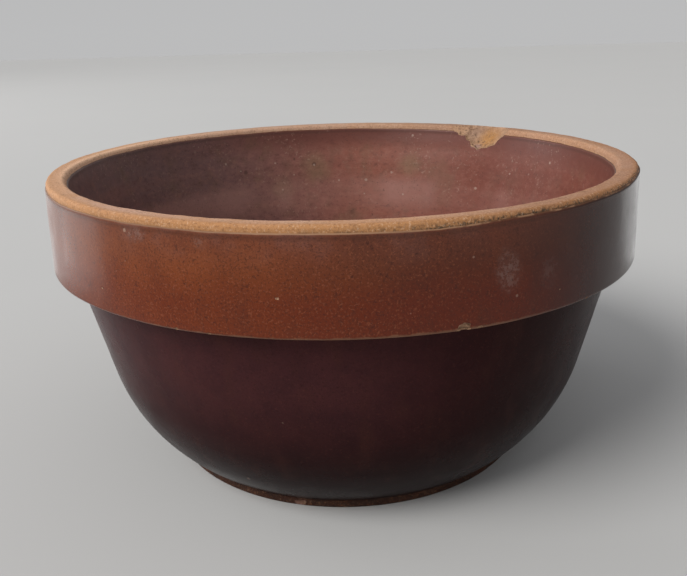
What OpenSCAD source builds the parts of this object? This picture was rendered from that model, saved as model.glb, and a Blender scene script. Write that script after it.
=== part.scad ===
// Stoneware mixing bowl with a broad collar, in millimetres.
// The clay body stands on the XY plane and its axis is Z.
// The bowl is one fired piece. Its two glaze coats are fused to the clay and are nodes of their
// own because they are another material, with an edge at the rim and another above the foot.

/* [Collar and rim] */
// Height of the bowl, from the table to the top of the rim
bowl_h = 127; // [120:1:134]
// Outer radius of the clay collar at its lower edge
collar_r = 127; // [121:0.5:133]
// Height of the collar's lower edge above the table
collar_z = 90.4; // [84:0.2:98]
// How far the collar stands out from the wall below it
collar_step = 8; // [5.2:0.1:11]
// How much narrower the collar is at the rim than at its lower edge
collar_draft = 0.4; // [0:0.1:1.5]
// Rounding of the collar's lower edge
collar_edge_r = 1; // [0.5:0.1:2]
// Rounding of the corner between the wall and the collar's underside
ledge_fillet_r = 2.5; // [1:0.1:3.5]
// Rounding of the rim's outer edge
rim_outer_edge_r = 1.6; // [0.8:0.1:2.5]
// Rounding of the rim's inner edge
rim_inner_edge_r = 2.2; // [0.8:0.1:2.5]

/* [Body] */
// Thickness of the clay wall, square to its faces
wall_t = 9.4; // [8:0.1:12]
// Angle of the straight upper wall from the vertical, in degrees
wall_lean = 14; // [10:0.5:17]
// Radius of the belly's outer curve, between the straight wall and the foot
belly_r = 76; // [66:1:90]
// Radius of the curve inside, between the straight wall and the floor
inner_belly_r = 50; // [40:1:58]
// Height of the clay floor above the table
floor_z = 9.6; // [8:0.1:12]

/* [Foot] */
// Radius of the upright foot
foot_r = 81.5; // [78:0.5:85]
// Height of the upright foot, which is left unglazed
foot_h = 3.6; // [2:0.1:6]
// Bevel on the foot's lower edge
foot_bevel = 0.8; // [0.3:0.1:1.5]
// Width of the ring that touches the table, with its bevel
foot_ring_w = 10; // [6:0.5:16]
// Depth of the shallow recess in the underside
recess_h = 2.4; // [1:0.1:4]

/* [Glaze] */
// Thickness of both glaze coats
glaze_t = 0.4; // [0.2:0.05:0.8]
// Height of bare clay left between the rim's top and the outside glaze
bare_outside_h = 3.1; // [2.6:0.1:6]
// Height of bare clay left between the rim's top and the inside glaze
bare_inside_h = 2.9; // [2.6:0.1:6]

/* [Hidden] */
$fn = 180;
belly_steps = 24;
edge_steps = 6;

// Profiles are drawn as [radius, height]. The straight wall runs along wall_dir through
// ledge_corner, the point where it would meet the collar's underside.
wall_dir = [sin(wall_lean), cos(wall_lean)];
wall_normal = [cos(wall_lean), -sin(wall_lean)];
ledge_corner = [collar_r - collar_step, collar_z];

// The belly's arc starts at the top of the foot and touches the straight wall.
foot_top = [foot_r, foot_h];
foot_offset = (foot_top - ledge_corner) * wall_normal;
foot_along = (foot_top - ledge_corner) * wall_dir;
belly_along = foot_along + sqrt(-foot_offset * (2 * belly_r + foot_offset));
belly_centre = ledge_corner + belly_along * wall_dir - belly_r * wall_normal;
belly_foot_angle = atan2(foot_top[1] - belly_centre[1], foot_top[0] - belly_centre[0]);

// The collar's face leans in by collar_draft over the collar's height.
collar_h = bowl_h - collar_z;
draft_angle = atan(collar_draft / collar_h);
function collar_face_r(z) = collar_r - (z - collar_z) * tan(draft_angle);

// The inner wall runs parallel to the outer one.
function inner_face_r(z) =
    ledge_corner[0] + (z - collar_z) * tan(wall_lean) - wall_t / cos(wall_lean);

// Centres of the roundings, each one radius away from the two faces that it joins.
ledge_centre_z = collar_z - ledge_fillet_r;
ledge_centre = [
    ledge_corner[0] - ledge_fillet_r * tan(wall_lean) + ledge_fillet_r / cos(wall_lean), ledge_centre_z];
collar_edge_z = collar_z + collar_edge_r;
collar_edge_centre = [collar_face_r(collar_edge_z) - collar_edge_r / cos(draft_angle), collar_edge_z];
rim_outer_z = bowl_h - rim_outer_edge_r;
rim_outer_centre = [collar_face_r(rim_outer_z) - rim_outer_edge_r / cos(draft_angle), rim_outer_z];
rim_inner_z = bowl_h - rim_inner_edge_r;
rim_inner_centre = [inner_face_r(rim_inner_z) + rim_inner_edge_r / cos(wall_lean), rim_inner_z];
inner_belly_z = floor_z + inner_belly_r;
inner_belly_centre = [inner_face_r(inner_belly_z) - inner_belly_r / cos(wall_lean), inner_belly_z];

// Points on an arc about a centre, from one angle to another.
function arc(centre, r, from, to, steps) =
    [for (i = [0:steps]) let (a = from + (to - from) * i / steps) centre + r * [cos(a), sin(a)]];

function reversed(points) = [for (i = [len(points) - 1:-1:0]) points[i]];

// The outside, from the top of the foot to the collar's lower edge, lifted off the clay by t.
function outside_face(t) = concat(
    arc(belly_centre, belly_r + t, belly_foot_angle, -wall_lean, belly_steps),
    arc(ledge_centre, ledge_fillet_r - t, 180 - wall_lean, 90, edge_steps),
    arc(collar_edge_centre, collar_edge_r + t, -90, draft_angle, edge_steps));

// The inside, from the axis over the floor and up the belly, lifted off the clay by t.
function inside_face(t) = concat(
    [[0, floor_z + t]],
    arc(inner_belly_centre, inner_belly_r - t, -90, -wall_lean, belly_steps));

// Points at one height on the collar's face and on the inner wall, lifted off the clay by t.
function on_collar(z, t) = [collar_face_r(z) + t / cos(draft_angle), z];
function on_inner_wall(z, t) = [inner_face_r(z) - t / cos(wall_lean), z];

module stoneware_body() {
    ring_r = foot_r - foot_ring_w;
    color("#B98A68")
    rotate_extrude()
    polygon(concat(
        [[0, recess_h], [ring_r - recess_h, recess_h], [ring_r, 0]],
        [[foot_r - foot_bevel, 0], [foot_r, foot_bevel]],
        outside_face(0),
        arc(rim_outer_centre, rim_outer_edge_r, draft_angle, 90, edge_steps),
        arc(rim_inner_centre, rim_inner_edge_r, 90, 180 - wall_lean, edge_steps),
        reversed(inside_face(0))));
}

module outside_glaze() {
    top_z = bowl_h - bare_outside_h;
    color("#5E2F20")
    rotate_extrude()
    polygon(concat(
        outside_face(glaze_t), [on_collar(top_z, glaze_t)],
        [on_collar(top_z, 0)], reversed(outside_face(0))));
}

module inside_glaze() {
    top_z = bowl_h - bare_inside_h;
    color("#6E443A")
    rotate_extrude()
    polygon(concat(
        inside_face(0), [on_inner_wall(top_z, 0)],
        [on_inner_wall(top_z, glaze_t)], reversed(inside_face(glaze_t))));
}

stoneware_body();
outside_glaze();
inside_glaze();
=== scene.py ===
"""Looks of the collared stoneware mixing bowl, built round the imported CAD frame.

The clay and its two glaze coats are turned from the same profile as the CAD nodes, with the
unevenness, glaze edges, chips and pits of a used bowl. The bowl's own sizes are in millimetres, and
a piece is scaled to metres when its mesh is made. Azimuth 0 faces the camera and grows to its right.
"""

import math

import bmesh
import bpy
import numpy as np
from mathutils import Matrix, Vector, noise


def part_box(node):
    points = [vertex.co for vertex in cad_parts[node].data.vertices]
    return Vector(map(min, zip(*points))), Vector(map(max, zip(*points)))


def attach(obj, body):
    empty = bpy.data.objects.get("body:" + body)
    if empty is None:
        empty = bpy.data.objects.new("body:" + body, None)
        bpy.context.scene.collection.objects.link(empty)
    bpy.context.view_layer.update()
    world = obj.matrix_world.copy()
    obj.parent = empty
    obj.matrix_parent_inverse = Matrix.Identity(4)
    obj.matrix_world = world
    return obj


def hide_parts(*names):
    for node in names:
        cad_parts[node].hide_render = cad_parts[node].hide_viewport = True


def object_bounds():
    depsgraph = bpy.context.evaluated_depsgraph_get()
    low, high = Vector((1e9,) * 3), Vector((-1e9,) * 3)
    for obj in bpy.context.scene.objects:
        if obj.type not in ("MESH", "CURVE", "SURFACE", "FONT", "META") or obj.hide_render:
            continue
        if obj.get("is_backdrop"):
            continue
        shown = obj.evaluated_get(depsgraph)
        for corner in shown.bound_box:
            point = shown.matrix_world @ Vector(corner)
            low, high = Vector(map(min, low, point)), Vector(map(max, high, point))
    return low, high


MM = 0.001
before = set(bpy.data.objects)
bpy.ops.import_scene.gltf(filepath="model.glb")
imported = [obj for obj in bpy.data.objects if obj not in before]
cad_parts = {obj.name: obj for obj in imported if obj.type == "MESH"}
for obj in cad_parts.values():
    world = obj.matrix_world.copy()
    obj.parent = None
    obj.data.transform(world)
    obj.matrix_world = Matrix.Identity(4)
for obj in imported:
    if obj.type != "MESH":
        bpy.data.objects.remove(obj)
cad_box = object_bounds()

# ---- Sizes of the bowl, in millimetres, as in the CAD ----
BOWL_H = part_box("stoneware_body")[1].z / MM
GLAZE_LOW, GLAZE_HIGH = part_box("outside_glaze")
COLLAR_Z = 90.4
COLLAR_STEP = 8.0
COLLAR_DRAFT = 0.4
COLLAR_EDGE_R = 1.0
LEDGE_FILLET_R = 2.5
RIM_OUTER_EDGE_R = 1.6
RIM_INNER_EDGE_R = 2.2
WALL_T = 9.4
WALL_LEAN = math.radians(14)
BELLY_R = 76
INNER_BELLY_R = 50
FLOOR_Z = 9.6
FOOT_R = 81.5
FOOT_H = 3.6
FOOT_BEVEL = 0.8
FOOT_RING_W = 10
RECESS_H = 2.4
GLAZE_T = 0.4
BARE_OUTSIDE_H = 3.1
BARE_INSIDE_H = 2.9
INNER_SHIFT = 0.8  # how far the inside was turned off centre
INNER_SHIFT_AZIMUTH = math.radians(-20)
# The widest circle that fits the CAD box, less the glaze, is the collar's lower edge.
COLLAR_R = min(GLAZE_HIGH.x, -GLAZE_LOW.x, GLAZE_HIGH.y, -GLAZE_LOW.y) / MM - GLAZE_T

# ---- How finely the pieces are divided ----
PATH_STEP = 0.25
SMALL_ARC_STEP = 0.1
AZIMUTHS = 512
OUTSIDE_STEP = 1.5
INSIDE_STEP = 1.7
RIM_STEP = 0.45
UNDERSIDE_STEP = 3.5
HIDDEN_STEP = 8.0
EDGE_STEPS = np.array([0.0, 0.05, 0.13, 0.25, 0.42, 0.65, 0.95, 1.35, 1.9, 2.6])
CLAY_SUNK = 0.2  # how deep the clay's surface lies under a glaze coat
COAT_SUNK = 0.6  # how deep a coat's back lies in the clay
EDGE_SUNK = 0.22  # how deep a coat's edge starts
BODY_GLAZE_TOP = COLLAR_Z - 1.0  # the height up to which the outside has the body's glaze
OVERLAP = 4.0  # how far the finely divided bare clay runs on under the glaze
FOOT_TO_RIM = (20, 40)  # the heights between which bare clay changes from the foot's looks to the rim's
NEAR_AXIS = 1.0  # how far from the axis a turned piece ends in its centre point
FAR = 99.0  # the distance from an edge where there is none

# ---- Profile of the clay: points are [radius, height] ----
WALL_DIR = np.array([math.sin(WALL_LEAN), math.cos(WALL_LEAN)])
WALL_NORMAL = np.array([math.cos(WALL_LEAN), -math.sin(WALL_LEAN)])
LEDGE_CORNER = np.array([COLLAR_R - COLLAR_STEP, COLLAR_Z])


def belly_centre():
    """Centre of the arc that starts at the top of the foot and touches the straight wall."""
    to_foot = np.array([FOOT_R, FOOT_H]) - LEDGE_CORNER
    offset, along = to_foot @ WALL_NORMAL, to_foot @ WALL_DIR
    along += math.sqrt(-offset * (2 * BELLY_R + offset))
    return LEDGE_CORNER + along * WALL_DIR - BELLY_R * WALL_NORMAL


def collar_face_r(z):
    return COLLAR_R - (z - COLLAR_Z) * COLLAR_DRAFT / (BOWL_H - COLLAR_Z)


def inner_face_r(z):
    return LEDGE_CORNER[0] + (z - COLLAR_Z) * math.tan(WALL_LEAN) - WALL_T / math.cos(WALL_LEAN)


def arc(centre, radius, start, end, step):
    """Points on an arc, with angles in radians."""
    count = max(4, math.ceil(abs(end - start) * radius / step))
    angles = np.linspace(start, end, count + 1)
    return np.c_[centre[0] + radius * np.cos(angles), centre[1] + radius * np.sin(angles)]


def path(*parts):
    """One polyline from arcs and points, with no stretch longer than PATH_STEP."""
    points = np.vstack([np.atleast_2d(p) for p in parts])
    lengths = np.linalg.norm(np.diff(points, axis=0), axis=1)
    points = points[np.r_[True, lengths > 1e-6]]
    reach = np.r_[0, np.cumsum(np.linalg.norm(np.diff(points, axis=0), axis=1))]
    even = np.union1d(reach, np.arange(0, reach[-1], PATH_STEP))
    return np.c_[np.interp(even, reach, points[:, 0]), np.interp(even, reach, points[:, 1])]


def outside_path():
    """The outside from the top of the foot up to the glaze line on the collar."""
    top_z = BOWL_H - BARE_OUTSIDE_H
    centre = belly_centre()
    foot_angle = math.atan2(FOOT_H - centre[1], FOOT_R - centre[0])
    fillet = [
        LEDGE_CORNER[0] + LEDGE_FILLET_R * (1 / math.cos(WALL_LEAN) - math.tan(WALL_LEAN)),
        COLLAR_Z - LEDGE_FILLET_R,
    ]
    edge_z = COLLAR_Z + COLLAR_EDGE_R
    edge = [collar_face_r(edge_z) - COLLAR_EDGE_R, edge_z]
    return path(
        arc(centre, BELLY_R, foot_angle, -WALL_LEAN, PATH_STEP),
        arc(fillet, LEDGE_FILLET_R, math.pi - WALL_LEAN, math.pi / 2, SMALL_ARC_STEP),
        arc(edge, COLLAR_EDGE_R, -math.pi / 2, 0, SMALL_ARC_STEP),
        [collar_face_r(top_z), top_z],
    )


def rim_path():
    """The bare rim, from the outside glaze line over the top and down to the inside glaze line."""
    outer_c = [collar_face_r(BOWL_H - RIM_OUTER_EDGE_R) - RIM_OUTER_EDGE_R, BOWL_H - RIM_OUTER_EDGE_R]
    inner_c = [
        inner_face_r(BOWL_H - RIM_INNER_EDGE_R) + RIM_INNER_EDGE_R / math.cos(WALL_LEAN),
        BOWL_H - RIM_INNER_EDGE_R,
    ]
    return path(
        [collar_face_r(BOWL_H - BARE_OUTSIDE_H), BOWL_H - BARE_OUTSIDE_H],
        arc(outer_c, RIM_OUTER_EDGE_R, 0, math.pi / 2, SMALL_ARC_STEP),
        arc(inner_c, RIM_INNER_EDGE_R, math.pi / 2, math.pi - WALL_LEAN, SMALL_ARC_STEP),
        [inner_face_r(BOWL_H - BARE_INSIDE_H), BOWL_H - BARE_INSIDE_H],
    )


def inside_path():
    """The inside from the glaze line down the wall and over the floor to the axis."""
    top_z = BOWL_H - BARE_INSIDE_H
    centre_z = FLOOR_Z + INNER_BELLY_R
    centre = [inner_face_r(centre_z) - INNER_BELLY_R / math.cos(WALL_LEAN), centre_z]
    return path(
        [inner_face_r(top_z), top_z],
        arc(centre, INNER_BELLY_R, -WALL_LEAN, -math.pi / 2, PATH_STEP),
        [0.0, FLOOR_Z],
    )


def foot_path():
    """The underside from the axis over the recess and the foot ring, and up the foot."""
    ring_r = FOOT_R - FOOT_RING_W
    round_r = RECESS_H / 2
    return path(
        [0.0, RECESS_H],
        arc([ring_r - 2 * round_r, round_r], round_r, math.pi / 2, 0, 0.2),
        arc([ring_r, round_r], round_r, math.pi, 1.5 * math.pi, 0.2),
        arc([FOOT_R - FOOT_BEVEL, FOOT_BEVEL], FOOT_BEVEL, -math.pi / 2, 0, SMALL_ARC_STEP),
        [FOOT_R, FOOT_H],
    )


# The whole outline in one line, and the distances along it at which the clay goes under a glaze.
STRETCHES = [foot_path(), outside_path(), rim_path(), inside_path()]
PROFILE = path(*STRETCHES)
ALONG = np.r_[0, np.cumsum(np.linalg.norm(np.diff(PROFILE, axis=0), axis=1))]
TANGENT = np.gradient(PROFILE, ALONG, axis=0)
TANGENT /= np.linalg.norm(TANGENT, axis=1)[:, None]
TURNING = np.r_[0, np.cumsum(np.abs(np.diff(np.unwrap(np.arctan2(TANGENT[:, 1], TANGENT[:, 0])))))]
LENGTHS = [float(np.linalg.norm(np.diff(line, axis=0), axis=1).sum()) for line in STRETCHES]
FOOT_TOP, OUTER_LINE, INNER_LINE, END = np.cumsum(LENGTHS)
RIM_MIDDLE = (OUTER_LINE + INNER_LINE) / 2


# ---- Unevenness of a real bowl ----
def fractal(points, size, octaves=3, seed=0.0, stretch=(1, 1, 1)):
    """Perlin noise of about -1 to 1 at points in millimetres, with features of that size."""
    scaled = np.asarray(points) * (np.array(stretch) / size) + seed * 17.31
    values = [noise.fractal(p, 1.0, 2.0, octaves) for p in scaled.reshape(-1, 3).tolist()]
    return np.array(values).reshape(scaled.shape[:-1])


def smoothstep(low, high, value):
    """Rises from 0 at low to 1 at high. With low above high it falls."""
    t = np.clip((value - low) / (high - low), 0, 1)
    return t * t * (3 - 2 * t)


def around(azimuth, radius=127.0):
    """Points on a level circle, to read noise that closes on itself."""
    return np.stack([radius * np.sin(azimuth), -radius * np.cos(azimuth), 0 * azimuth], -1)


def warp(points):
    """The whole bowl is a little out of round and its rim is not quite level. It only ever shrinks."""
    x, y, z = points[..., 0], points[..., 1], points[..., 2]
    azimuth = np.arctan2(x, -y)
    high = np.clip(z / BOWL_H, 0, 1)
    squeeze = 1 - 0.0022 * high * (0.5 - 0.5 * np.cos(2 * azimuth - 0.9))
    drop = 1 - 0.0022 * high * (0.5 + 0.5 * np.cos(azimuth - 2.0))
    return np.stack([x * squeeze, y * squeeze, z * drop], -1)


def outside_relief(points):
    """How far the outside glaze stands out or in: broad waves and faint turning lines."""
    waves = 0.10 * fractal(points, 34, 2, 1.0)
    dimples = 0.03 * fractal(points, 9, 2, 2.0)
    turning = 0.03 * fractal(points, 5.0, 2, 4.0, (0.06, 0.06, 1.0))
    return waves + dimples + turning - 0.14


def inside_relief(points):
    """The inside glaze, with the lines that the potter's rib left round the wall."""
    waves = 0.09 * fractal(points, 38, 2, 1.5)
    dimples = 0.02 * fractal(points, 9, 2, 2.5)
    turning = 0.075 * fractal(points, 6.0, 2, 3.0, (0.04, 0.04, 1.0))
    return waves + dimples + turning - 0.14


def clay_relief(points):
    """Bare clay: worn and slightly lumpy, on the whole behind the CAD surface, flat where it stands."""
    worn = 0.13 * (fractal(points, 11, 3, 5.0) - 0.9)
    grit = 0.05 * fractal(points, 2.4, 2, 6.0)
    return (worn + grit - 0.04) * smoothstep(0.0, 1.2, points[..., 2])


# ---- Meshes of the clay and its glaze coats ----
def in_scene(name, data):
    """An object with that mesh, lamp or camera, in the scene."""
    made = bpy.data.objects.new(name, data)
    bpy.context.scene.collection.objects.link(made)
    return made


def inner_shift(azimuth):
    """How far out the inside lies at an azimuth, because it isn't quite concentric with the outside."""
    return INNER_SHIFT * np.cos(azimuth - INNER_SHIFT_AZIMUTH)


def turned(flat, azimuth):
    """Turns [radius, height] values into points round the axis. The first index runs round."""
    radius, height = flat[..., 0], flat[..., 1]
    turn = np.broadcast_to(azimuth[:, None], radius.shape)
    return np.stack([radius * np.sin(turn), -radius * np.cos(turn), height], -1)


def ring():
    return np.linspace(0, 2 * math.pi, AZIMUTHS, endpoint=False)


def rows(start, end, step, turn_limit):
    """Distances along the outline, closer together where it curves. turn_limit is in degrees."""
    measure = ALONG / step + TURNING / math.radians(turn_limit)
    first, last = np.interp([start, end], ALONG, measure)
    return np.interp(np.linspace(first, last, math.ceil(last - first) + 1), measure, ALONG)


def lifted(reach, lift, relief=None, relief_share=1.0):
    """Points at reach[azimuth, row] along the outline, off the clay by lift and the relief."""
    at = np.stack([np.interp(reach, ALONG, PROFILE[:, k]) for k in (0, 1)], -1)
    tangent = np.stack([np.interp(reach, ALONG, TANGENT[:, k]) for k in (0, 1)], -1)
    tangent /= np.linalg.norm(tangent, axis=-1)[..., None]
    azimuth = ring()
    inside = smoothstep(RIM_MIDDLE - 2, RIM_MIDDLE + 2, reach) * smoothstep(15, 110, at[..., 1])
    at[..., 0] += inside * inner_shift(azimuth)[:, None]
    base = turned(at, azimuth)
    out = turned(np.stack([tangent[..., 1], -tangent[..., 0]], -1), azimuth)
    amount = np.broadcast_to(lift, reach.shape)
    if relief is not None:
        amount = amount + relief_share * relief(base)
    return base + out * amount[..., None]


def turned_mesh(name, points, close_loop, poles, edge_distance):
    """A closed mesh from points[azimuth, row]. poles are the heights of centre points at the ends."""
    points = warp(points)
    row_count = points.shape[1]
    vertices = (points * MM).transpose(1, 0, 2).reshape(-1, 3).tolist()
    distance = edge_distance.T.reshape(-1).tolist()
    azimuths = [(a, (a + 1) % AZIMUTHS) for a in range(AZIMUTHS)]
    faces = []
    for row in range(row_count if close_loop else row_count - 1):
        low, high = row * AZIMUTHS, (row + 1) % row_count * AZIMUTHS
        faces += [(low + a, low + b, high + b, high + a) for a, b in azimuths]
    if not close_loop:
        last = (row_count - 1) * AZIMUTHS
        under, over = len(vertices), len(vertices) + 1
        vertices += [(0.0, 0.0, height * MM) for height in poles]
        distance += [FAR, FAR]
        faces += [(under, b, a) for a, b in azimuths]
        faces += [(over, last + a, last + b) for a, b in azimuths]
    mesh = bpy.data.meshes.new(name)
    mesh.from_pydata(vertices, [], faces)
    attribute = mesh.attributes.new("edge_distance", "FLOAT", "POINT")
    attribute.data.foreach_set("value", distance)
    return in_scene(name, mesh)


def coat_thickness(distance):
    """Thickness at a distance from the coat's edge: a rounded roll, a little thicker, then level."""
    rise = np.sqrt(np.clip(1 - (1 - np.clip(distance / 0.6, 0, 1)) ** 2, 0, 1))
    bead = 1 + 0.10 * np.exp(-(((distance - 1.2) / 0.75) ** 2))
    return GLAZE_T * rise * bead - EDGE_SUNK * (1 - rise)


def coat(name, start, end, step, relief, start_wander, end_wander=None):
    """A closed coat whose edges wander by the two functions. Without the second it ends at the axis."""
    azimuth = ring()
    first = start + EDGE_STEPS
    if end_wander is None:
        front = np.r_[first, rows(first[-1], end, step, 8)[1:]]
        to_end = np.full(len(front), FAR)
    else:
        last = (end - EDGE_STEPS)[::-1]
        front = np.r_[first, rows(first[-1], last[0], step, 8)[1:-1], last]
        to_end = end - front
    back = rows(start, end, HIDDEN_STEP, 15)[::-1]

    def wandering(reach):
        moved = np.broadcast_to(reach, (AZIMUTHS, len(reach))).copy()
        moved += start_wander(azimuth)[:, None] * (1 - smoothstep(3, 12, reach - start))
        if end_wander is not None:
            moved += end_wander(azimuth)[:, None] * (1 - smoothstep(3, 12, end - reach))
        return moved

    distance = np.minimum(front - start, to_end)
    front_points = lifted(wandering(front), coat_thickness(distance), relief)
    back_points = lifted(wandering(back), -COAT_SUNK)
    distances = np.r_[distance, np.zeros(len(back))]
    points = [front_points, back_points]
    if end_wander is None:
        distances = np.r_[np.zeros(len(back)), distance]
        points.reverse()
    return turned_mesh(
        name,
        np.concatenate(points, axis=1),
        end_wander is not None,
        (FLOOR_Z - COAT_SUNK, points[-1][0, -1, 2]),
        np.broadcast_to(distances, (AZIMUTHS, len(distances))),
    )


# How far along the outline each edge of a glaze coat lies from its level line, at each azimuth.
def foot_edge(azimuth):
    circle = around(azimuth, FOOT_R)
    return 0.35 + 0.55 * fractal(circle, 24, 2, 9.0) + 0.25 * fractal(circle, 5, 3, 10.0)


def outer_line_edge(azimuth):
    """The outside glaze runs higher on the right, and nearly reaches the top of the rim there."""
    circle = around(azimuth)
    degrees = np.degrees(np.arctan2(np.sin(azimuth), np.cos(azimuth)))
    right = smoothstep(10, 30, degrees) * smoothstep(150, 100, degrees)
    highest = np.exp(-(((degrees - 64) / 11) ** 2))
    small = 0.3 * fractal(circle, 34, 2, 7.0) + 0.14 * fractal(circle, 6, 3, 8.0)
    return 0.45 + 0.85 * right + 1.2 * highest + small


def inner_line_edge(azimuth):
    """The inside glaze runs higher on the left."""
    circle = around(azimuth)
    small = 0.25 * fractal(circle, 28, 2, 11.0) + 0.12 * fractal(circle, 5, 3, 12.0)
    return -0.4 + 0.45 * np.sin(azimuth) + small


def clay_body():
    """The whole clay body. Its rim, foot and underside show; the rest lies just under the glaze."""
    reach = np.concatenate(
        [
            rows(NEAR_AXIS, FOOT_TOP + OVERLAP, UNDERSIDE_STEP, 18),
            rows(FOOT_TOP + OVERLAP, OUTER_LINE - OVERLAP, HIDDEN_STEP, 15)[1:-1],
            rows(OUTER_LINE - OVERLAP, INNER_LINE + OVERLAP, RIM_STEP, 9),
            rows(INNER_LINE + OVERLAP, END - NEAR_AXIS, HIDDEN_STEP, 15)[1:],
        ]
    )
    reach = np.broadcast_to(reach, (AZIMUTHS, len(reach)))
    edges = (foot_edge, outer_line_edge, inner_line_edge)
    foot, outer, inner = (edge(ring())[:, None] for edge in edges)
    outside = np.minimum(reach - FOOT_TOP - foot, OUTER_LINE + outer - reach)
    under_glaze = np.maximum(outside, reach - INNER_LINE - inner)
    hidden = smoothstep(1.8, 3.4, under_glaze)
    points = lifted(reach, -CLAY_SUNK * hidden, clay_relief, 1 - hidden)
    return turned_mesh("clay_body", points, False, (RECESS_H, FLOOR_Z - CLAY_SUNK), -under_glaze)


# ---- Chips and pits ----
# The rim chip, seen from inside the bowl: distance along the rim to the right of its left end,
# depth below the rim's top, and how far it reaches across the rim for each millimetre of depth.
RIM_CHIP_LEFT = math.radians(147)
RIM_CHIP = [
    (-5.0, -4.0, 0.7),
    (-0.5, 0.2, 0.7),
    (2.5, 2.7, 0.75),
    (7.7, 4.7, 0.95),
    (9.4, 5.2, 0.95),
    (10.8, 6.7, 0.92),
    (13.0, 8.3, 0.84),
    (14.0, 9.5, 0.76),
    (17.5, 11.1, 0.66),
    (19.8, 11.0, 0.7),
    (25.0, 9.6, 0.8),
    (29.5, 8.0, 0.88),
    (31.4, 5.8, 0.92),
    (33.0, 4.0, 0.82),
    (35.5, 2.0, 0.6),
    (38.0, -0.4, 0.6),
    (45.0, -5.0, 0.7),
]
RIM_CHIP_R = 117.0

# Small chips: azimuth in degrees, height, and half sizes along, into and up the surface.
EDGE_CHIPS = [
    (17.0, 90.7, 2.5, 1.2, 2.2),
    (19.4, 90.2, 1.2, 0.8, 1.2),
    (-20.0, 90.3, 0.9, 0.5, 0.7),
    (-25.5, 90.6, 0.8, 0.45, 0.8),
    (41.0, 90.4, 0.9, 0.5, 0.7),
    (-118.0, 90.4, 1.6, 0.8, 1.2),
    (152.0, 90.5, 1.2, 0.6, 0.9),
]
PITS = [
    (-9.4, 104.0, 0.7, 0.5, 0.45),
    (34.0, 97.5, 0.3, 0.3, 0.3),
    (-41.0, 99.0, 0.4, 0.4, 0.4),
    (100.0, 108.0, 0.6, 0.5, 0.5),
    (-165.0, 101.0, 0.5, 0.45, 0.5),
]
FOOT_NICKS = [(-14.0, 1.4, 2.4, 0.9, 1.3), (58.0, 1.2, 1.6, 0.7, 1.2), (-150.0, 1.2, 2.0, 0.8, 1.2)]


def closed_sheet(name, near, far):
    """A closed mesh between two grids of points of the same shape."""
    columns, row_count = near.shape[:2]
    size = columns * row_count
    vertices = (warp(np.concatenate([near, far]).reshape(-1, 3)) * MM).tolist()
    faces = []

    def at(column, row, side):
        return side * size + column * row_count + row

    for c in range(columns - 1):
        for r in range(row_count - 1):
            faces.append((at(c, r, 0), at(c + 1, r, 0), at(c + 1, r + 1, 0), at(c, r + 1, 0)))
            faces.append((at(c, r, 1), at(c, r + 1, 1), at(c + 1, r + 1, 1), at(c + 1, r, 1)))
    for c in range(columns - 1):
        top = row_count - 1
        faces.append((at(c, 0, 0), at(c, 0, 1), at(c + 1, 0, 1), at(c + 1, 0, 0)))
        faces.append((at(c, top, 0), at(c + 1, top, 0), at(c + 1, top, 1), at(c, top, 1)))
    for r in range(row_count - 1):
        end = columns - 1
        faces.append((at(0, r, 0), at(0, r + 1, 0), at(0, r + 1, 1), at(0, r, 1)))
        faces.append((at(end, r, 0), at(end, r, 1), at(end, r + 1, 1), at(end, r + 1, 0)))
    mesh = bpy.data.meshes.new(name)
    mesh.from_pydata(vertices, [], faces)
    return in_scene(name, mesh)


def rim_chip_cutter():
    """The broken face is a hollowed slope from the rim's top to the inner wall, ragged at its left."""
    along = np.arange(-5, 45.1, 0.5)  # round the rim, as in RIM_CHIP
    down = np.arange(-6, 22.1, 0.5)  # down the slope from the rim's top
    chip = np.array(RIM_CHIP)
    depth = np.interp(along, chip[:, 0], chip[:, 1])
    across = np.interp(along, chip[:, 0], chip[:, 2])
    flat = np.stack([along, 0 * along, 0 * along], -1)
    depth = depth + 0.35 * fractal(flat, 3.0, 3, 21.0)
    slope = math.tan(WALL_LEAN) + across
    size = np.hypot(slope, 1)
    # The slope runs along face, and into points from it into the clay.
    face = -np.stack([slope, np.ones_like(slope)], -1) / size[:, None]
    into = np.stack([np.ones_like(slope), -slope], -1) / size[:, None]
    azimuth = RIM_CHIP_LEFT - along / RIM_CHIP_R
    corner_r = inner_face_r(BOWL_H) + inner_shift(azimuth)
    top = np.stack([corner_r + across * depth, np.full_like(depth, BOWL_H)], -1)
    half = np.maximum(depth, 0) * size / 2
    hollow = 1 - ((down[None] - half[:, None]) / (half[:, None] + 2)) ** 2
    hollow = 0.1 * np.maximum(depth, 0)[:, None] * np.clip(hollow, -1, 1)
    grid = np.stack(np.meshgrid(along, down, [0.0], indexing="ij"), -1)[:, :, 0]
    ragged = 1 - smoothstep(13, 22, along)[:, None]
    rough = (0.14 + 0.5 * ragged) * fractal(grid, 2.6, 4, 22.0)
    rough += (0.25 + 0.45 * ragged) * fractal(grid, 8.0, 2, 23.0)
    ripple = 0.1 * np.sin(np.hypot(along[:, None] - 27, down[None] + 2) * 1.9) * (1 - ragged)
    sunk = hollow + rough + ripple
    near = top[:, None] + down[None, :, None] * face[:, None] + sunk[..., None] * into[:, None]
    far = near - 10.0 * into[:, None]
    return closed_sheet("rim_chip", turned(near, azimuth), turned(far, azimuth))


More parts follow.
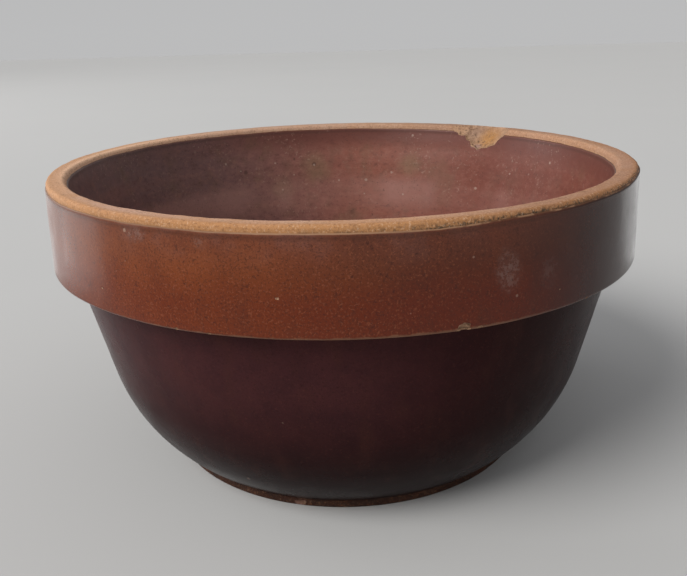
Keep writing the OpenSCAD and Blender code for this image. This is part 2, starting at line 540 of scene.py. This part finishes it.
def chips_cutter(name, chips, radius):
    """One mesh of rough ellipsoids on an outer surface, whose radius is a function of height."""
    made = bmesh.new()
    for number, (degrees, height, along, into, up) in enumerate(chips):
        ball = bmesh.ops.create_icosphere(made, subdivisions=3, radius=1.0)["verts"]
        turn = Matrix.Rotation(math.radians(degrees), 3, "Z")
        centre = turn @ Vector((0, -radius(height), height))
        for vertex in ball:
            bumps = noise.fractal(vertex.co * 1.6 + Vector((number * 5.3, 0, 0)), 0.9, 2.1, 4)
            point = vertex.co * (1 + 0.35 * bumps)
            local = Vector((point.x * along, point.y * into, point.z * up))
            moved = warp(np.array([*(centre + turn @ local)]))
            vertex.co = Vector(moved.tolist()) * MM
    mesh = bpy.data.meshes.new(name)
    made.to_mesh(mesh)
    made.free()
    return in_scene(name, mesh)


def carve(piece, cutters, material):
    """Cuts the cutters out of the piece. The cut faces get the material."""
    for cutter in cutters:
        cutter.data.materials.clear()
        cutter.data.materials.append(material)
        cut = piece.modifiers.new(cutter.name, "BOOLEAN")
        cut.operation = "DIFFERENCE"
        cut.solver = "MANIFOLD"
        cut.material_mode = "TRANSFER"
        cut.object = cutter
    bpy.context.view_layer.update()
    seen = piece.evaluated_get(bpy.context.evaluated_depsgraph_get())
    mesh = bpy.data.meshes.new_from_object(seen)
    piece.modifiers.clear()
    piece.data = mesh


def smooth(piece, sharp_degrees=40):
    mesh = piece.data
    mesh.polygons.foreach_set("use_smooth", [True] * len(mesh.polygons))
    mesh.set_sharp_from_angle(angle=math.radians(sharp_degrees))


# ---- Marks on the glaze ----
# Heights and radii of the outside, to place marks on the wall below the collar.
BODY_FACE = outside_path()[:, ::-1].T

# Each mark has its azimuth in degrees, its height, its radius and how strongly it shows.
COLLAR_SPOTS = [
    (25.5, 99.0, 0.6, 0.45),
    (18.2, 114.0, 0.5, 0.4),
    (-34.0, 121.6, 0.9, 0.7),
    (-33.1, 120.9, 0.5, 0.7),
    (-34.5, 111.0, 0.5, 0.4),
    (-36.8, 106.7, 0.5, 0.35),
    (9.0, 98.0, 0.4, 0.35),
    (120.0, 112.0, 0.7, 0.5),
    (-140.0, 99.0, 0.8, 0.5),
]
BODY_SPOTS = [
    (-24.0, 18.0, 0.9, 0.5),
    (-12.0, 52.0, 0.5, 0.4),
    (70.0, 40.0, 0.7, 0.5),
    (-150.0, 60.0, 0.8, 0.5),
]
# Dull patches: azimuth, height, radius, how many times taller than wide, and how strongly they show.
HAZY_SCUFFS = [
    (23.8, 107.0, 6.5, 1.5, 0.42),
    (31.4, 104.7, 5.5, 1.3, 0.16),
    (-31.5, 121.0, 5.5, 0.8, 0.38),
    (-20.5, 120.5, 4.0, 0.8, 0.2),
    (-128.0, 110.0, 7.0, 1.2, 0.35),
]
# Dark pits, stains and pale flecks on the inside.
INSIDE_PITS = [
    (-171.5, 104.5, 1.7, 0.6),
    (-150.0, 103.0, 1.6, 0.6),
    (-148.4, 104.0, 1.3, 0.6),
    (-165.5, 108.0, 0.9, 0.6),
    (40.0, 90.0, 1.4, 0.6),
]
OLIVE_STAINS = [(158.5, 103.0, 10.0, 0.4), (-172.0, 103.0, 12.0, 0.3), (-161.0, 92.0, 10.0, 0.25)]
INSIDE_FLECKS = [
    (-171.5, 104.0, 0.8, 0.5),
    (-144.0, 109.0, 0.8, 0.5),
    (-148.4, 104.0, 0.7, 0.5),
    (-159.5, 106.5, 0.7, 0.5),
    (-161.0, 91.0, 0.8, 0.5),
    (-165.0, 99.0, 0.6, 0.5),
    (-179.0, 94.5, 0.8, 0.5),
    (172.5, 94.5, 1.0, 0.5),
    (173.0, 86.5, 0.6, 0.5),
    (160.5, 86.5, 0.8, 0.5),
    (164.5, 99.0, 0.9, 0.5),
    (158.5, 120.5, 0.8, 0.5),
    (125.5, 104.0, 0.7, 0.5),
    (111.5, 113.5, 0.8, 0.5),
    (136.5, 93.5, 1.0, 0.5),
    (-20.0, 80.0, 0.8, 0.5),
    (60.0, 66.0, 0.8, 0.5),
]


# ---- Materials ----
class Surface:
    """A material's nodes, with one short call for each kind. Lengths are in millimetres."""

    def __init__(self, name):
        self.material = bpy.data.materials.new(name)
        self.material.use_nodes = True
        self.tree = self.material.node_tree
        self.shader = self.tree.nodes["Principled BSDF"]
        place = self.add("ShaderNodeTexCoord").outputs["Object"]
        self.place = self.vector("SCALE", place, scale=1 / MM)
        split = self.add("ShaderNodeSeparateXYZ", self.place)
        self.x, self.y, self.z = split.outputs
        level = self.vector("MULTIPLY", self.place, (1, 1, 0))
        self.radius = self.add("ShaderNodeVectorMath", level, operation="LENGTH").outputs["Value"]

    def add(self, kind, *values, **settings):
        node = self.tree.nodes.new(kind)
        for key, value in settings.items():
            setattr(node, key, value)
        for socket, value in zip(node.inputs, values):
            self.feed(socket, value)
        return node

    def feed(self, socket, value):
        if isinstance(value, bpy.types.NodeSocket):
            self.tree.links.new(value, socket)
        elif value is not None:
            socket.default_value = value

    def set(self, **values):
        for key, value in values.items():
            self.feed(self.shader.inputs[key.replace("_", " ")], value)

    def vector(self, operation, a, b=None, scale=None):
        node = self.add("ShaderNodeVectorMath", a, b, operation=operation)
        if scale is not None:
            node.inputs["Scale"].default_value = scale
        return node.outputs["Vector"]

    def math(self, operation, a, b=None):
        return self.add("ShaderNodeMath", a, b, operation=operation).outputs[0]

    def times(self, a, b):
        return self.math("MULTIPLY", a, b)

    def plus(self, a, b):
        return self.math("ADD", a, b)

    def between(self, value, low, high, at_low=0.0, at_high=1.0):
        """A smooth step from at_low to at_high as value goes from low to high."""
        node = self.add("ShaderNodeMapRange", value, low, high, at_low, at_high)
        node.interpolation_type = "SMOOTHSTEP"
        return node.outputs[0]

    def noise(self, size, detail=2.0, stretch=(1, 1, 1), offset=0.0, rough=0.5):
        """Noise from 0 to 1, with features of that size."""
        scaled = self.vector("MULTIPLY", self.place, tuple(s / size for s in stretch))
        moved = self.vector("ADD", scaled, (offset, offset, offset))
        return self.add("ShaderNodeTexNoise", moved, None, 1.0, detail, rough).outputs[0]

    def mix(self, factor, a, b):
        node = self.add("ShaderNodeMix", factor, data_type="RGBA")
        for socket, value in ((node.inputs[6], a), (node.inputs[7], b)):
            self.feed(socket, (*value, 1.0) if isinstance(value, tuple) else value)
        return node.outputs[2]

    def spot(self, place, size, softness=0.4, ragged=0.35, tall=1.0):
        """1 inside a ragged spot of that radius about a point, 0 outside."""
        shape = (1, 1, 1 / tall)
        centre = tuple(c * f for c, f in zip(place, shape))
        here = self.vector("MULTIPLY", self.place, shape)
        distance = self.add("ShaderNodeVectorMath", here, centre, operation="DISTANCE").outputs["Value"]
        wobble = self.times(self.noise(size * 0.9, 3, offset=place[0]), size * ragged * 2)
        reach = self.plus(distance, wobble)
        return self.between(reach, size * (1 - softness + ragged), size * (1 + ragged), 1.0, 0.0)

    def bump(self, *layers):
        """Bumps from (height socket, depth) pairs."""
        normal = None
        for height, depth in layers:
            node = self.add("ShaderNodeBump", 1.0, depth * MM, None, height, normal)
            normal = node.outputs["Normal"]
        self.set(Normal=normal)


def at_azimuth(azimuth, radius, height):
    return (radius * math.sin(azimuth), -radius * math.cos(azimuth), height)


def on_collar(degrees, height):
    return at_azimuth(math.radians(degrees), collar_face_r(height) + GLAZE_T, height)


def on_body(degrees, height):
    return at_azimuth(math.radians(degrees), float(np.interp(height, *BODY_FACE)) + GLAZE_T, height)


def on_inside(degrees, height):
    azimuth = math.radians(degrees)
    return at_azimuth(azimuth, inner_face_r(height) + float(inner_shift(azimuth)) - GLAZE_T, height)


def on_chip(along, depth):
    """A point on the rim chip's broken face, in the terms of RIM_CHIP."""
    places, depths, ratios = np.array(RIM_CHIP).T
    full, across = np.interp(along, places, depths), np.interp(along, places, ratios)
    azimuth = RIM_CHIP_LEFT - along / RIM_CHIP_R
    radius = inner_face_r(BOWL_H - depth) + inner_shift(azimuth) + across * (full - depth)
    return at_azimuth(azimuth, radius, BOWL_H - depth)


def edge_distance(surface):
    return surface.add("ShaderNodeAttribute", attribute_name="edge_distance").outputs["Fac"]


def glaze_edge(s, colour, pale, pooled_colour):
    """Along its edges a coat is thin, then pooled and dark. Where pale is 1 the thin edge is light."""
    edge = edge_distance(s)
    pooled = s.times(s.between(edge, 0.6, 1.1), s.between(edge, 1.6, 3.0, 1.0, 0.0))
    colour = s.mix(s.times(pooled, 0.35), colour, pooled_colour)
    thin = s.between(edge, 0.28, 0.6, 1.0, 0.0)
    colour = s.mix(s.times(thin, 0.85), colour, (0.10, 0.040, 0.018))
    return s.mix(s.times(thin, pale), colour, (0.33, 0.185, 0.105))


def marked(s, colour, marks, on_surface, mark_colour, softness=0.4, ragged=0.35):
    """Mixes in ragged marks from one of the tables."""
    for degrees, height, size, strength in marks:
        mark = s.spot(on_surface(degrees, height), size, softness, ragged)
        colour = s.mix(s.times(mark, strength), colour, mark_colour)
    return colour


def speckled(s, colour, size, offset, rise, strength, speck_colour):
    """Mixes in fine specks. rise is the pair of noise values between which a speck comes up."""
    specks = s.between(s.noise(size, 3, offset=offset, rough=0.7), *rise)
    return s.mix(s.times(specks, strength), colour, speck_colour)


def right_darkening_and_shade(s, low, high, most):
    """How far the outside glaze darkens towards the right, and less behind: partly its own colour,
    partly painted shade.
    """
    return s.times(s.between(s.x, low, high, 0.0, most), s.between(s.y, -25, 45, 1.0, 0.55))


def smudged(s, low, high):
    """Roughness of the handled outside glaze, from low to high."""
    return s.between(s.noise(28, 4, offset=31.0, rough=0.65), 0.3, 0.75, low, high)


def worn_arris(s, wear):
    """Where the collar's lower edge is worn thin or to the clay, less so at the far right."""
    worn_up_to = s.math("SUBTRACT", s.times(wear, 2.2), s.between(s.x, -110, 40, 0.35, -0.15))
    worn_z = s.math("SUBTRACT", s.z, worn_up_to)
    low_edge = s.between(worn_z, COLLAR_Z - 1.0, COLLAR_Z - 0.1, 1.0, 0.0)
    on_face = s.between(s.radius, 125.2, 125.9)
    arris = s.times(s.times(low_edge, on_face), s.between(s.z, COLLAR_Z - 0.6, COLLAR_Z - 0.2))
    return s.times(arris, s.between(s.plus(s.x, s.times(wear, 60)), 70, 115, 1.0, 0.1))


def hazy_scuffs(s):
    """How much haze the dull, crumbly patches lay on the collar."""
    haze = 0.0
    for degrees, height, size, tall, strength in HAZY_SCUFFS:
        mark = s.spot(on_collar(degrees, height), size, 0.95, 0.45, tall)
        haze = s.plus(s.times(mark, strength), haze)
    return s.times(haze, s.between(s.noise(1.8, 4, offset=47.0, rough=0.75), 0.44, 0.60, 0.25, 1.0))


def collar_glaze_material():
    """The glaze on the collar: red-brown at the left, darker and purplish at the right, partly as
    painted shade, speckled, with a painted mauve sheen near the top.
    """
    s = Surface("collar_glaze")
    broad = s.noise(75, 2, offset=3.0)
    mottle = s.noise(13, 4, offset=7.0, rough=0.6)
    streak = s.noise(9, 3, (1.0, 1.0, 0.35), 11.0)
    # Towards the right the glaze turns darker and purplish, partly its own colour and partly painted
    # shade.
    to_right = s.between(s.plus(s.x, s.times(broad, 120)), -30, 150)
    colour = s.mix(to_right, (0.203, 0.050, 0.0125), (0.069, 0.0165, 0.0085))
    colour = s.mix(s.between(mottle, 0.3, 0.8, 0.0, 0.6), colour, (0.125, 0.026, 0.008))
    colour = s.mix(s.between(s.z, 118, 98, 0.0, 0.6), colour, (0.112, 0.012, 0.003))
    colour = s.mix(s.between(s.z, 108, 124, 0.0, 0.45), colour, (0.145, 0.046, 0.028))
    # Painted shade, in part: the collar darkens to near black towards the right.
    colour = s.mix(right_darkening_and_shade(s, 50, 95, 0.92), colour, (0.015, 0.0035, 0.0035))
    colour = s.mix(s.times(s.between(streak, 0.5, 0.8), 0.3), colour, (0.06, 0.02, 0.012))
    # Painted reflection: a pale mauve sheen near the top of the collar, fading out to the right.
    mauve_sheen = s.times(s.between(s.z, 112, 121), s.between(s.noise(11, 3, offset=17.0), 0.45, 0.7))
    mauve_sheen = s.times(mauve_sheen, s.between(s.x, 10, 60, 0.35, 0.0))
    colour = s.mix(mauve_sheen, colour, (0.17, 0.080, 0.066))
    fewer_at_right = s.between(s.x, 10, 80, 0.42, 0.12)
    colour = speckled(s, colour, 0.7, 5.0, (0.50, 0.64), 0.5, (0.045, 0.014, 0.008))
    colour = speckled(s, colour, 0.8, 15.0, (0.53, 0.68), fewer_at_right, (0.27, 0.085, 0.036))
    colour = speckled(s, colour, 1.9, 35.0, (0.60, 0.68), 0.45, (0.035, 0.010, 0.007))
    wear = s.noise(6, 4, offset=21.0, rough=0.65)
    arris = worn_arris(s, wear)
    colour = s.mix(s.times(arris, 0.6), colour, (0.25, 0.130, 0.070))
    # The glaze's edges show as a pale line, which is fainter at the left and broken at the right.
    pale = s.between(s.plus(s.x, s.times(wear, 40)), -30, 0, 0.5, 0.9)
    broken_line = s.between(s.noise(6, 4, offset=51.0, rough=0.7), 0.44, 0.58, 0.05, 0.75)
    pale = s.times(pale, s.mix(s.between(s.x, 0, 50), (1.0, 1.0, 1.0), broken_line))
    colour = glaze_edge(s, colour, pale, (0.05, 0.018, 0.010))
    colour = marked(s, colour, COLLAR_SPOTS, on_collar, (0.34, 0.22, 0.16))
    haze = hazy_scuffs(s)
    colour = s.mix(haze, colour, (0.24, 0.165, 0.145))
    roughness = s.plus(smudged(s, 0.16, 0.28), s.times(haze, 0.5))
    roughness = s.plus(roughness, s.times(arris, 0.3))
    # The thin edge is dull, so no bright line runs along it, except at the far left.
    dull_edge = s.between(edge_distance(s), 0.4, 1.6, 0.45, 0.0)
    dull_edge = s.times(dull_edge, s.between(s.x, -118, -75, 0.1, 1.0))
    roughness = s.plus(roughness, dull_edge)
    s.set(Base_Color=colour, Roughness=roughness, IOR=1.45, Specular_IOR_Level=0.28)
    s.bump((s.noise(3.4, 2, offset=41.0), 0.035), (s.noise(0.9, 2, offset=43.0), 0.014))
    return s.material


def body_glaze_material():
    """The same glaze below the collar, where it is thick: a deep plum brown, and duller, darkened
    further as painted shade towards the bottom and the right.
    """
    s = Surface("body_glaze")
    mottle = s.noise(13, 4, offset=7.0, rough=0.6)
    streak = s.noise(9, 3, (1.0, 1.0, 0.35), 11.0)
    colour = s.mix(s.between(mottle, 0.35, 0.7), (0.060, 0.0190, 0.0200), (0.047, 0.0155, 0.0175))
    # Painted shade, in part: the body darkens to near black towards the right.
    colour = s.mix(right_darkening_and_shade(s, -10, 80, 0.96), colour, (0.0125, 0.0006, 0.0006))
    # Painted shade: darker towards the bottom, where the wall faces down.
    colour = s.mix(s.between(s.z, 12, 75), (0.009, 0.0025, 0.0025), colour)
    colour = s.mix(s.times(s.between(streak, 0.5, 0.8), 0.3), colour, (0.060, 0.021, 0.015))
    colour = speckled(s, colour, 0.75, 5.0, (0.52, 0.66), 0.4, (0.020, 0.007, 0.006))
    colour = speckled(s, colour, 0.8, 15.0, (0.57, 0.70), 0.10, (0.25, 0.09, 0.06))
    colour = glaze_edge(s, colour, 0.0, (0.02, 0.008, 0.006))
    colour = marked(s, colour, BODY_SPOTS, on_body, (0.20, 0.13, 0.10))
    s.set(Base_Color=colour, Roughness=smudged(s, 0.22, 0.36), IOR=1.45, Specular_IOR_Level=0.05)
    s.bump((s.noise(3.4, 2, offset=41.0), 0.035), (s.noise(0.9, 2, offset=43.0), 0.012))
    return s.material


def inside_glaze_material():
    """The inside: thin, dull and much used, with turning lines, stains, crumbs and a painted pale sheen
    band.
    """
    s = Surface("inside_glaze")
    broad = s.noise(60, 3, offset=2.0)
    lines = s.noise(3.2, 4, (0.05, 0.05, 1.0), 6.0, 0.65)
    wide_lines = s.noise(9.0, 3, (0.12, 0.12, 1.0), 8.0, 0.6)
    mottle = s.noise(8, 4, offset=13.0, rough=0.65)
    blotch = s.noise(4.0, 4, (1, 1, 1.6), 37.0, 0.7)
    to_right = s.between(s.plus(s.x, s.times(broad, 90)), -60, 75)
    colour = s.mix(to_right, (0.158, 0.088, 0.086), (0.250, 0.084, 0.056))
    colour = s.mix(s.between(s.x, 35, 90, 0.0, 0.85), colour, (0.148, 0.038, 0.025))
    colour = s.mix(s.between(lines, 0.35, 0.75, 0.0, 0.2), colour, (0.125, 0.048, 0.038))
    colour = s.mix(s.between(wide_lines, 0.45, 0.75, 0.0, 0.3), colour, (0.28, 0.12, 0.09))
    colour = s.mix(s.between(mottle, 0.45, 0.75, 0.0, 0.5), colour, (0.145, 0.078, 0.052))
    colour = s.mix(s.between(blotch, 0.48, 0.66, 0.0, 0.28), colour, (0.33, 0.15, 0.115))
    colour = s.mix(s.between(blotch, 0.46, 0.34, 0.0, 0.4), colour, (0.085, 0.030, 0.024))
    stain = s.noise(22, 4, (1, 1, 0.8), 17.0, 0.6)
    colour = s.mix(s.between(stain, 0.56, 0.72, 0.0, 0.35), colour, (0.17, 0.105, 0.058))
    colour = marked(s, colour, OLIVE_STAINS, on_inside, (0.20, 0.15, 0.075), 0.9, 0.5)
    # Painted reflection: a pale sheen band across the lower wall.
    sheen_band = s.times(s.between(s.z, 74, 85), s.between(s.z, 99, 91))
    sheen_band = s.times(sheen_band, s.between(s.noise(35, 3, (1, 1, 0.3), 39.0), 0.38, 0.6, 0.25, 1.0))
    colour = s.mix(s.times(sheen_band, 0.55), colour, (0.37, 0.195, 0.165))
    under_rim = s.times(s.between(s.z, 110, 121), s.between(s.x, -90, -20, 0.3, 0.8))
    colour = s.mix(under_rim, colour, (0.105, 0.030, 0.022))
    colour = s.mix(s.between(s.x, 20, 60, 0.0, 0.35), colour, (0.175, 0.048, 0.031))
    crumb_area = s.between(s.noise(16, 3, offset=45.0), 0.42, 0.62)
    crumbs = s.times(crumb_area, s.between(s.noise(1.5, 3, offset=23.0, rough=0.7), 0.58, 0.68))
    colour = s.mix(s.times(crumbs, 0.5), colour, (0.36, 0.23, 0.18))
    dark_specks = s.between(s.noise(0.9, 2, offset=27.0), 0.62, 0.72)
    colour = s.mix(s.times(dark_specks, 0.45), colour, (0.03, 0.014, 0.012))
    colour = marked(s, colour, INSIDE_PITS, on_inside, (0.055, 0.022, 0.018), 0.6, 0.3)
    colour = marked(s, colour, INSIDE_FLECKS, on_inside, (0.44, 0.32, 0.26))
    colour = glaze_edge(s, colour, 0.0, (0.045, 0.018, 0.012))
    roughness = s.between(s.noise(18, 4, offset=29.0, rough=0.6), 0.3, 0.75, 0.36, 0.5)
    s.set(Base_Color=colour, Roughness=roughness, IOR=1.45, Specular_IOR_Level=0.35)
    s.bump((lines, 0.02), (s.noise(2.6, 3, offset=33.0), 0.03))
    return s.material


def grimy(s, colour):
    """Grime on the rim along the outside glaze, as a line and as dots, most of it on the right."""
    edge = edge_distance(s)
    outer_side = s.times(s.between(s.radius, 122, 124), s.between(s.x, -50, 45, 0.3, 1.0))
    grime = s.times(outer_side, s.between(edge, 0.0, 0.8, 1.0, 0.0))
    grime = s.times(grime, s.between(s.noise(9, 3, offset=19.0), 0.38, 0.62, 0.15, 0.8))
    colour = s.mix(grime, colour, (0.060, 0.036, 0.022))
    fine = s.noise(1.15, 3, (1, 1, 0.8), 25.0, 0.7)
    dots = s.times(s.between(fine, 0.50, 0.57), s.between(edge, 0.4, 2.2, 1.0, 0.0))
    dots = s.times(dots, s.times(outer_side, s.between(s.x, -20, 45, 0.25, 0.9)))
    return s.mix(dots, colour, (0.052, 0.035, 0.022))


def stoneware_material():
    """Bare clay: warm and grainy on the rim, dark on the foot and the underside, stained there and
    darkened further as painted shade.
    """
    s = Surface("bare_stoneware")
    broad = s.noise(40, 3, offset=1.0)
    mottle = s.noise(7, 4, offset=5.0, rough=0.65)
    grain = s.noise(0.75, 3, offset=9.0, rough=0.7)
    flakes = s.noise(1.9, 4, (1, 1, 0.7), 15.0, 0.7)
    colour = s.mix(s.between(broad, 0.35, 0.65), (0.53, 0.300, 0.200), (0.50, 0.260, 0.140))
    colour = s.mix(s.between(mottle, 0.35, 0.75, 0.0, 0.65), colour, (0.57, 0.370, 0.280))
    # The outer half of the rim is toasted to ochre. The right is darker, and the back greyer and
    # darker, partly in the clay's colour and partly as painted shade.
    toasted = s.between(s.plus(s.radius, s.times(mottle, 4)), 124.6, 128.4)
    colour = s.mix(s.times(toasted, 0.85), colour, (0.43, 0.200, 0.072))
    colour = s.mix(s.between(s.x, -80, -112, 0.0, 0.6), colour, (0.58, 0.320, 0.175))
    colour = s.mix(s.between(s.x, 10, 70, 0.0, 0.5), colour, (0.24, 0.100, 0.042))
    colour = s.mix(s.between(s.y, 60, 118, 0.0, 0.3), colour, (0.27, 0.185, 0.135))
    back_right = s.times(s.between(s.x, 20, 70), s.between(s.y, 40, 100, 0.0, 0.35))
    colour = s.mix(back_right, colour, (0.30, 0.160, 0.095))
    # Painted light: the inner roll is lightened where it faces away from the front, most of it at the
    # left, to lift its shade.
    lightened_roll = s.times(s.between(s.radius, 123.0, 119.5), s.between(s.x, 40, -70, 0.15, 0.8))
    lightened_roll = s.times(lightened_roll, s.times(s.between(s.y, -80, 0), s.between(s.y, 110, 50, 0.3, 1.0)))
    colour = s.mix(lightened_roll, colour, (0.78, 0.500, 0.330))
    # Painted shade, in part: the foot and the underside are stained and darkened to near black.
    foot = s.between(s.z, *FOOT_TO_RIM, 1.0, 0.0)
    foot_stain_and_shade = s.mix(s.between(mottle, 0.35, 0.7), (0.014, 0.0030, 0.0013), (0.040, 0.0100, 0.0040))
    colour = s.mix(foot, colour, foot_stain_and_shade)
    dirt = s.noise(5, 5, (1, 1, 0.6), 13.0, 0.7)
    colour = s.mix(s.between(dirt, 0.56, 0.76, 0.0, 0.6), colour, (0.17, 0.085, 0.045))
    colour = grimy(s, colour)
    colour = s.mix(s.between(flakes, 0.58, 0.68, 0.0, 0.5), colour, (0.20, 0.105, 0.060))
    colour = s.mix(s.between(grain, 0.53, 0.66, 0.0, 0.6), colour, (0.19, 0.090, 0.045))
    pale_grain = s.between(s.z, *FOOT_TO_RIM, 0.1, 0.5)
    pale_grain = s.times(s.between(grain, 0.45, 0.34), pale_grain)
    colour = s.mix(pale_grain, colour, (0.64, 0.44, 0.31))
    s.set(Base_Color=colour, Roughness=s.between(mottle, 0.3, 0.7, 0.7, 0.85), Specular_IOR_Level=0.25)
    s.bump((mottle, 0.10), (flakes, 0.10), (grain, 0.06))
    return s.material


def broken_clay_material():
    """Clay laid bare by a chip. On the rim it is pitted, with an ochre hollow and a pale tip."""
    s = Surface("broken_clay")
    mottle = s.noise(3.2, 4, offset=4.0, rough=0.65)
    grain = s.noise(0.65, 3, offset=8.0, rough=0.7)
    pits = s.noise(1.7, 3, offset=12.0, rough=0.7)
    colour = s.mix(s.between(mottle, 0.35, 0.65), (0.43, 0.255, 0.155), (0.32, 0.182, 0.108))
    worn = s.between(s.x, 66, 74, 1.0, 0.0)
    colour = s.mix(s.times(worn, 0.7), colour, (0.45, 0.262, 0.158))
    greyer = s.spot(on_chip(14.0, 4.0), 8.0, 0.9, 0.4)
    colour = s.mix(s.times(greyer, 0.5), colour, (0.28, 0.185, 0.145))
    ochre = s.spot(on_chip(22.5, 6.0), 9.5, 0.9, 0.2)
    colour = s.mix(s.times(ochre, 0.8), colour, (0.39, 0.180, 0.046))
    tip = s.spot(on_chip(18.0, 10.4), 3.0, 0.9, 0.3)
    colour = s.mix(s.times(tip, 0.8), colour, (0.32, 0.200, 0.180))
    colour = s.mix(s.between(s.z, *FOOT_TO_RIM, 1.0, 0.0), colour, (0.16, 0.080, 0.068))
    on_collar_edge = s.between(s.z, 96, 100, 1.0, 0.0)
    colour = s.mix(s.times(on_collar_edge, 0.35), colour, (0.17, 0.085, 0.050))
    pitted = s.times(s.between(pits, 0.54, 0.62), s.between(s.x, 90, 78, 0.15, 0.75))
    colour = s.mix(pitted, colour, (0.13, 0.075, 0.043))
    colour = s.mix(s.between(grain, 0.55, 0.68, 0.0, 0.45), colour, (0.16, 0.090, 0.050))
    colour = s.mix(s.between(grain, 0.44, 0.34, 0.0, 0.4), colour, (0.52, 0.360, 0.250))
    s.set(Base_Color=colour, Roughness=0.82, Specular_IOR_Level=0.25)
    s.bump((mottle, 0.2), (pits, 0.25), (grain, 0.12))
    return s.material


def floor_material():
    s = Surface("pale_floor")
    soft = s.noise(400, 2)
    s.set(Base_Color=s.mix(soft, (0.517, 0.517, 0.517), (0.535, 0.533, 0.53)), Roughness=0.9)
    s.set(Specular_IOR_Level=0.1)
    return s.material


# ---- The bowl ----
def make_bowl():
    broken = broken_clay_material()
    clay = clay_body()
    outside = coat(
        "outside_coat", FOOT_TOP, OUTER_LINE, OUTSIDE_STEP, outside_relief, foot_edge, outer_line_edge
    )
    inside = coat(
        "inside_coat", INNER_LINE, END - NEAR_AXIS, INSIDE_STEP, inside_relief, inner_line_edge
    )
    clay.data.materials.append(stoneware_material())
    outside.data.materials.append(collar_glaze_material())
    outside.data.materials.append(body_glaze_material())
    for face in outside.data.polygons:
        face.material_index = int(face.center.z < BODY_GLAZE_TOP * MM)
    inside.data.materials.append(inside_glaze_material())

    rim_chip = rim_chip_cutter()
    edge_chips = chips_cutter("edge_chips", EDGE_CHIPS, collar_face_r)
    pits = chips_cutter("pits", PITS, lambda z: collar_face_r(z) + GLAZE_T)
    nicks = chips_cutter("foot_nicks", FOOT_NICKS, lambda z: FOOT_R)
    carve(clay, [rim_chip, edge_chips, nicks], broken)
    carve(outside, [rim_chip, edge_chips, pits], broken)
    carve(inside, [rim_chip], broken)
    for cutter in (rim_chip, edge_chips, pits, nicks):
        bpy.data.objects.remove(cutter)
    rows_of = (
        (clay, "stoneware_body", "bare_stoneware"),
        (outside, "outside_glaze", "outside_glaze"),
        (inside, "inside_glaze", "inside_glaze"),
    )
    for piece, node, slot in rows_of:
        smooth(piece)
        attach(piece, "root")
        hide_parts(node)


# ---- The scene ----
HORIZON = (0.50, 0.50, 0.503)  # about as bright as the floor, to soften the edge between them
ZENITH = (0.36, 0.363, 0.37)
# Low cards beside the bowl, seen only in its gloss, for the pale streaks at the collar's sides: which
# side, the bearing from straight back, in degrees, and the power.
CARDS = [
    ("card_back_left", -1, 45, 0.019),
    ("card_left", -1, 82, 0.045),
    ("card_back_right", 1, 45, 0.021),
]
CARD_REACH = 0.25  # metres from the collar's side
CAMERA_PLACE = (0, -0.3459, 0.1828)
CAMERA_TURN = (15.441, -0.023, -1.566)  # down, to the right, and rolled, in degrees
CAMERA_LENS = 40.28
CAMERA_SHIFT_Y = -0.0699


def make_floor():
    mesh = bpy.data.meshes.new("floor")
    half = 6.0
    corners = [(-half, -half, 0.0), (half, -half, 0.0), (half, half, 0.0), (-half, half, 0.0)]
    mesh.from_pydata(corners, [], [(0, 1, 2, 3)])
    mesh.materials.append(floor_material())
    in_scene("floor", mesh)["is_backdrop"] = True


def aim(lamp, place, target=(0, 0, 0.06)):
    lamp.location = place
    lamp.rotation_euler = (Vector(target) - Vector(place)).to_track_quat("-Z", "Y").to_euler()


def area_light(name, width, height, power):
    light = bpy.data.lights.new(name, "AREA")
    light.shape = "RECTANGLE"
    light.size, light.size_y = width, height
    light.energy = power
    return in_scene(name, light)


def make_lights():
    """A large soft key from the upper left, a low window at the left and the cards."""
    key = bpy.data.lights.new("key", "SUN")
    key.angle = math.radians(34)
    key.energy = 2.5
    key.color = (1.0, 0.985, 0.955)
    aim(in_scene("key", key), (-0.85, -0.65, 1.0))
    aim(area_light("window", 2.0, 1.6, 28.0), (-3.0, 1.1, 1.12), (-0.8, 0.3, 0.12))
    for name, side, bearing, power in CARDS:
        card = area_light(name, 0.18, 0.09, power)
        card.visible_camera = card.visible_diffuse = False
        turn = math.radians(bearing)
        collar_side = 0.127 * side
        out, back = CARD_REACH * math.sin(turn), CARD_REACH * math.cos(turn)
        aim(card, (collar_side + side * out, back, 0.05), (collar_side, 0, 0.10))


def make_room():
    """An even pale room, a little darker overhead."""
    world = bpy.data.worlds.new("pale_room")
    bpy.context.scene.world = world
    world.use_nodes = True
    nodes, links = world.node_tree.nodes, world.node_tree.links
    direction = nodes.new("ShaderNodeTexCoord").outputs["Generated"]
    split = nodes.new("ShaderNodeSeparateXYZ")
    links.new(direction, split.inputs[0])
    sky = nodes.new("ShaderNodeMix")
    sky.data_type = "RGBA"
    links.new(split.outputs["Z"], sky.inputs["Factor"])
    sky.inputs[6].default_value = (*HORIZON, 1.0)
    sky.inputs[7].default_value = (*ZENITH, 1.0)
    links.new(sky.outputs[2], nodes["Background"].inputs["Color"])


def make_camera():
    camera = bpy.data.cameras.new("camera")
    camera.sensor_width = 36
    camera.lens = CAMERA_LENS
    camera.shift_y = CAMERA_SHIFT_Y
    pitch, yaw, roll = (math.radians(a) for a in CAMERA_TURN)
    right = Vector((math.cos(yaw), -math.sin(yaw), 0))
    ahead = Vector((math.sin(yaw) * math.cos(pitch), math.cos(yaw) * math.cos(pitch), -math.sin(pitch)))
    up = right.cross(ahead)
    rolled_right = math.cos(roll) * right + math.sin(roll) * up
    rolled_up = -math.sin(roll) * right + math.cos(roll) * up
    turn = Matrix((rolled_right, rolled_up, -ahead)).transposed()
    eye = in_scene("camera", camera)
    eye.matrix_world = Matrix.Translation(CAMERA_PLACE) @ turn.to_4x4()
    bpy.context.scene.camera = eye


make_camera()
make_bowl()
make_floor()
make_lights()
make_room()
bpy.context.scene.view_settings.view_transform = "Standard"
boxes = {"cad": cad_box, "visual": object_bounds()}
boxes = {name: [list(corner) for corner in box] for name, box in boxes.items()}
